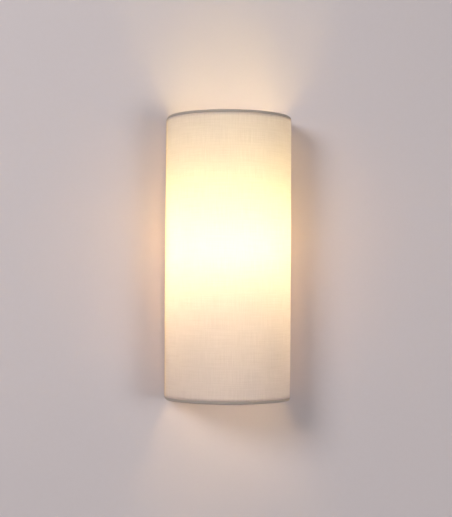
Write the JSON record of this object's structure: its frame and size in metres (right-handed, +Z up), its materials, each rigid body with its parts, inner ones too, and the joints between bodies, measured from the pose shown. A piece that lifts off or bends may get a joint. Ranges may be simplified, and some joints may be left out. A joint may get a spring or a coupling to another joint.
{
  "type": "wall light",
  "caption": "Tall half-round wall light: a white cloth shade on a wire frame, open at top and bottom, round one upright lamp on a wall plate.",
  "frame": {"origin": "middle of the wall bracket's two screw slots, on the wall", "axes": "+X to the right along the wall, -Y out from the wall, +Z up along the lamp and the shade"},
  "size_m": [0.154, 0.1, 0.35],
  "materials": {
    "shade_cloth": "plain woven linen and cotton, ivory white",
    "shade_liner": "translucent white laminate",
    "hem_cloth": "the same cloth, rolled and glued",
    "white_wire": "white epoxy coat on steel",
    "plate_paint": "fine white powder coat",
    "nickel": "satin nickel plate",
    "zinc_steel": "bright zinc plate",
    "spring_steel": "blackened spring steel",
    "brass": "plain stamped brass",
    "solder": "dull solder",
    "opal_globe": "satin opal",
    "lamp_housing": "satin white moulding",
    "black_glass": "black fused insulator",
    "led_board": "white masked aluminium board",
    "led_chips": "yellow phosphor",
    "circuit_board": "green laminate",
    "white_plastic": "plain moulding",
    "holder_plastic": "white heat-proof moulding",
    "porcelain": "cream porcelain",
    "block_nylon": "natural nylon",
    "grommet_rubber": "white rubber",
    "neutral_insulation": "blue silicone",
    "live_insulation": "brown silicone",
    "earth_insulation": "green silicone with a yellow stripe",
    "glass_sleeving": "braided glass sleeving"
  },
  "bodies": {
    "shade": {"shade_cloth": "shade_cloth", "shade_liner": "shade_liner", "top_hem": "hem_cloth", "bottom_hem": "hem_cloth", "left_side_hem": "hem_cloth", "right_side_hem": "hem_cloth", "top_ring_wire": "white_wire", "bottom_ring_wire": "white_wire", "top_cross_wire": "white_wire", "bottom_cross_wire": "white_wire", "left_upright_wire": "white_wire", "right_upright_wire": "white_wire", "top_shade_tab": "white_wire", "bottom_shade_tab": "white_wire"},
    "top_thumb_screw": {"top_thumb_screw": "nickel", "top_screw_clip": "spring_steel"},
    "bottom_thumb_screw": {"bottom_thumb_screw": "nickel", "bottom_screw_clip": "spring_steel"},
    "lamp": {"bulb_globe": "opal_globe", "bulb_housing": "lamp_housing", "bulb_cap": "nickel", "bulb_insulator": "black_glass", "bulb_tip": "solder", "led_board": "led_board", "led_chips": "led_chips", "driver_board": "circuit_board"},
    "wall_unit": {"wall_bracket": "zinc_steel", "bracket_studs": "zinc_steel", "stud_nuts": "zinc_steel", "back_plate": "plate_paint", "dome_nuts": "nickel", "dome_washers": "nickel", "weld_nuts": "zinc_steel", "plate_nuts": "zinc_steel", "holder_arm": "plate_paint", "arm_screws": "zinc_steel", "hollow_nipple": "zinc_steel", "nipple_washer": "zinc_steel", "nipple_nut": "zinc_steel", "nipple_bush": "white_plastic", "holder_cap": "holder_plastic", "holder_skirt": "holder_plastic", "holder_insert": "porcelain", "screw_shell": "brass", "centre_contact": "brass", "holder_rivets": "brass", "holder_terminals": "brass", "holder_terminal_screws": "nickel", "terminal_block": "block_nylon", "terminal_clamps": "brass", "terminal_screws": "zinc_steel", "block_screw": "zinc_steel", "grommet": "grommet_rubber", "neutral_lead": "neutral_insulation", "live_lead": "live_insulation", "earth_lead": "earth_insulation", "lead_sleeve": "glass_sleeving", "earth_tag": "brass", "earth_screw": "nickel"}
  },
  "joints": [
    {"name": "shade_pull_off", "type": "slide", "parent": "wall_unit", "child": "shade", "axis": [0, -1, 0], "range_m": [0, 0.12]},
    {"name": "lamp_withdraw", "type": "slide", "parent": "wall_unit", "child": "lamp", "axis": [0, 0, 1], "range_m": [0, 0.08]},
    {"name": "top_thumb_turn", "type": "hinge", "parent": "shade", "child": "top_thumb_screw", "pos_m": [0, -0.02, 0.138], "axis": [0, -1, 0], "continuous": true},
    {"name": "bottom_thumb_turn", "type": "hinge", "parent": "shade", "child": "bottom_thumb_screw", "pos_m": [0, -0.02, -0.138], "axis": [0, -1, 0], "continuous": true}
  ]
}
